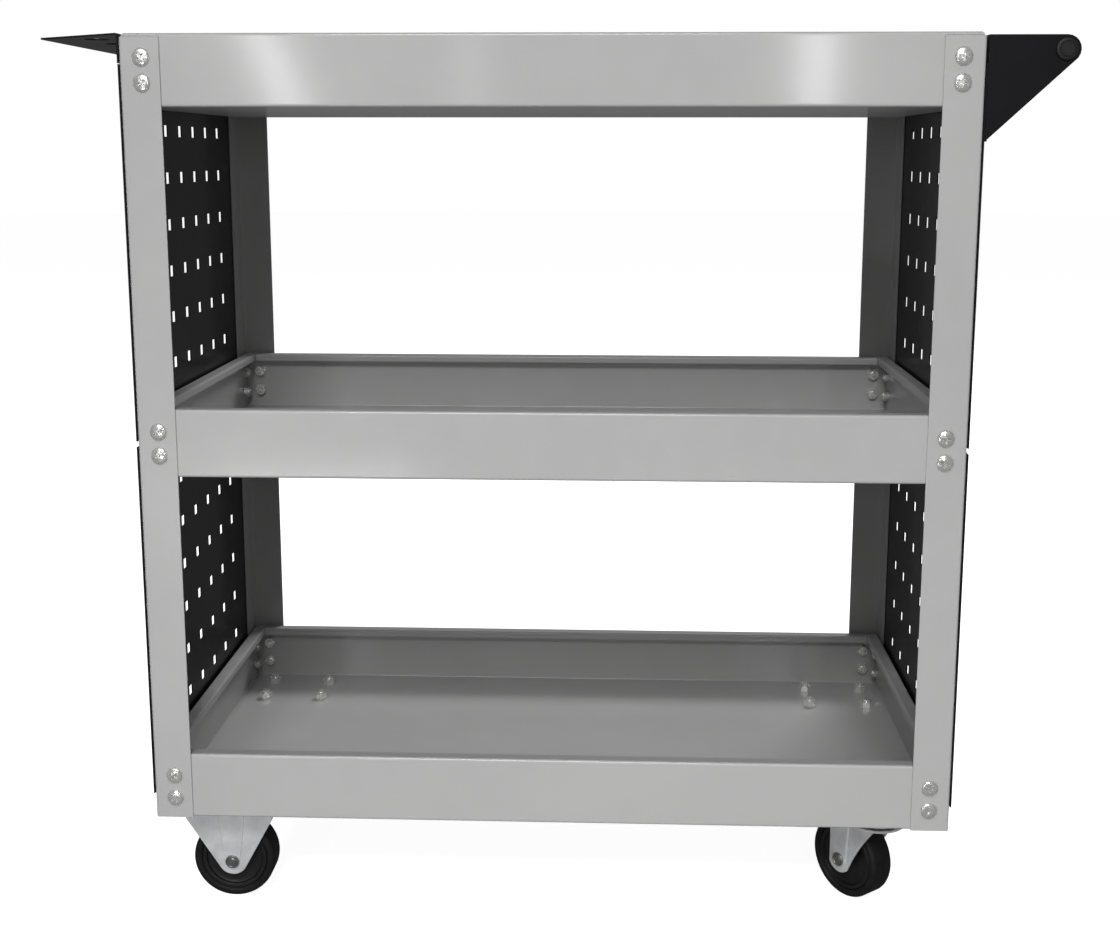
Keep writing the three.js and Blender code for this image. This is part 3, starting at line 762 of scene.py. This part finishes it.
for level, top in TRAY_TOPS.items():
    pressed_tray(level)
    add_tray_fasteners(level, top)
for side_name in SIDES:
    for end_name in ENDS:
        polished(f"post_{end_name}_{side_name}", GREY, 0.3 * MM)
    for level in ("upper", "lower"):
        polished(f"peg_panel_{side_name}_{level}", BLACK)
for end_name in ENDS:
    polished(f"handle_bracket_{end_name}", BLACK, 0.3 * MM)
    add_fixed_caster(end_name)
    add_swivel_caster(end_name)
    for side_name in SIDES:
        plate_node = f"caster_{end_name}_{side_name}_" + ("fork" if side_name == "left" else "plate")
        low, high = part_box(plate_node)
        x = low.x + FIXED["plate_reach"] if side_name == "left" else (low.x + high.x) / 2
        add_caster_bolts(f"{end_name}_{side_name}", Vector((x, (low.y + high.y) / 2, 0)))
polished("tool_rack", BLACK)
add_handle()


# ---- studio ----
def white(name, colour, glow):
    """Pale matt floor with faint mottling, so bright that it runs into the backdrop."""
    shader = Shader(name)
    drift = shader.ranged(shader.noise(1.5, 3.0), 0.3, 0.7)
    shader.colour(shader.mixed(drift, colour, tuple(c * 0.985 for c in colour)))
    shader.roughness(shader.ranged(shader.noise(6.0, 3.0), 0.3, 0.7, 0.85, 0.95))
    shader.surface.inputs["Specular IOR Level"].default_value = 0.1
    shader.surface.inputs["Emission Color"].default_value = (1, 1, 1, 1)
    shader.surface.inputs["Emission Strength"].default_value = glow
    return shader.material


def add_floor():
    bm = bmesh.new()
    turned(bm, [(0, 0), (2.0, 0), (6.0, 0), (16.0, 0)], 96)
    mesh = bpy.data.meshes.new("studio_floor")
    bm.to_mesh(mesh)
    bm.free()
    mesh.materials.append(white("studio_floor", (0.60, 0.60, 0.60), 0.91))
    floor = bpy.data.objects.new("studio_floor", mesh)
    bpy.context.scene.collection.objects.link(floor)
    floor.visible_diffuse = False
    floor.visible_glossy = False


def area_light(name, place, target, width, height, power, glossy=True, lean=0):
    data = bpy.data.lights.new(name, "AREA")
    data.shape = "RECTANGLE"
    data.size, data.size_y, data.energy = width, height, power
    lamp = bpy.data.objects.new(name, data)
    bpy.context.scene.collection.objects.link(lamp)
    lamp.location = place
    aim = (Vector(target) - Vector(place)).to_track_quat("-Z", "Y")
    lamp.rotation_euler = (aim.to_matrix() @ Matrix.Rotation(math.radians(lean), 3, "Z")).to_euler()
    lamp.visible_camera = False
    lamp.visible_glossy = glossy
    return lamp


def keep_off(lamp, *nodes):
    """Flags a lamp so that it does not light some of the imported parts."""
    flagged = bpy.data.collections.new(f"{lamp.name}_flag")
    for node in nodes:
        flagged.objects.link(NODES[node])
    lamp.light_linking.receiver_collection = flagged
    for entry in flagged.collection_objects:
        entry.light_linking.link_state = "EXCLUDE"


def add_world():
    """White backdrop for the camera, and a much dimmer even light on the cart."""
    world = bpy.data.worlds.new("studio")
    bpy.context.scene.world = world
    world.use_nodes = True
    tree = world.node_tree
    tree.nodes.clear()
    kinds = ("ShaderNodeBackground", "ShaderNodeBackground", "ShaderNodeMixShader")
    seen, lit, mix = (tree.nodes.new(kind) for kind in kinds)
    path, output = tree.nodes.new("ShaderNodeLightPath"), tree.nodes.new("ShaderNodeOutputWorld")
    seen.inputs["Strength"].default_value = 1.0
    seen.inputs["Color"].default_value = (1, 1, 1, 1)
    lit.inputs["Strength"].default_value = 0.125
    lit.inputs["Color"].default_value = (1, 1, 1, 1)
    tree.links.new(path.outputs["Is Camera Ray"], mix.inputs[0])
    tree.links.new(lit.outputs[0], mix.inputs[1])
    tree.links.new(seen.outputs[0], mix.inputs[2])
    tree.links.new(mix.outputs[0], output.inputs["Surface"])


def add_camera():
    data = bpy.data.cameras.new("camera")
    data.sensor_width = 36
    data.lens = 46.52
    data.shift_x, data.shift_y = -0.0034, -0.0541
    camera = bpy.data.objects.new("camera", data)
    bpy.context.scene.collection.objects.link(camera)
    camera.location = (0.06387, -1.37511, 0.680)
    camera.rotation_euler = [math.radians(a) for a in (80.1894, -0.0611, 2.2128)]
    bpy.context.scene.camera = camera


add_floor()
add_world()
add_camera()
key = area_light("key", (-0.25, -2.75, 2.6), (0, 0, 0.40), 1.2, 0.8, 72)
front_fill = area_light("front_fill", (0.0, -1.4, 0.05), (0, -0.18, 0.24), 1.8, 0.12, 12.5, glossy=False)
area_light("strip_left", (-0.73, -2.3, 0.90), (-0.22, -0.18, 0.75), 0.05, 0.36, 2.0, lean=20)
area_light("strip_middle", (-0.275, -2.3, 0.90), (-0.06, -0.18, 0.75), 0.06, 0.34, 0.40)
area_light("strip_right", (0.50, -2.3, 0.90), (0.21, -0.18, 0.75), 0.06, 0.34, 2.0)
area_light("caster_fill", (-0.48, -1.5, 0.06), (-0.29, -0.13, 0.06), 0.35, 0.1, 1.0)
area_light("back", (1.1, 2.8, 3.0), (0, 0, 0.4), 1.6, 1.2, 105, glossy=False)
area_light("side_left", (-1.5, -0.35, 1.55), (-0.2, 0, 0.15), 0.06, 0.06, 2.6, glossy=False)
area_light("side_right", (1.0, -0.5, 1.75), (0.3, 0, 0.15), 0.06, 0.06, 2.0, glossy=False)
for lamp in (key, front_fill):
    keep_off(lamp, "post_rear_left", "post_rear_right")
bpy.context.scene.view_settings.view_transform = "Standard"
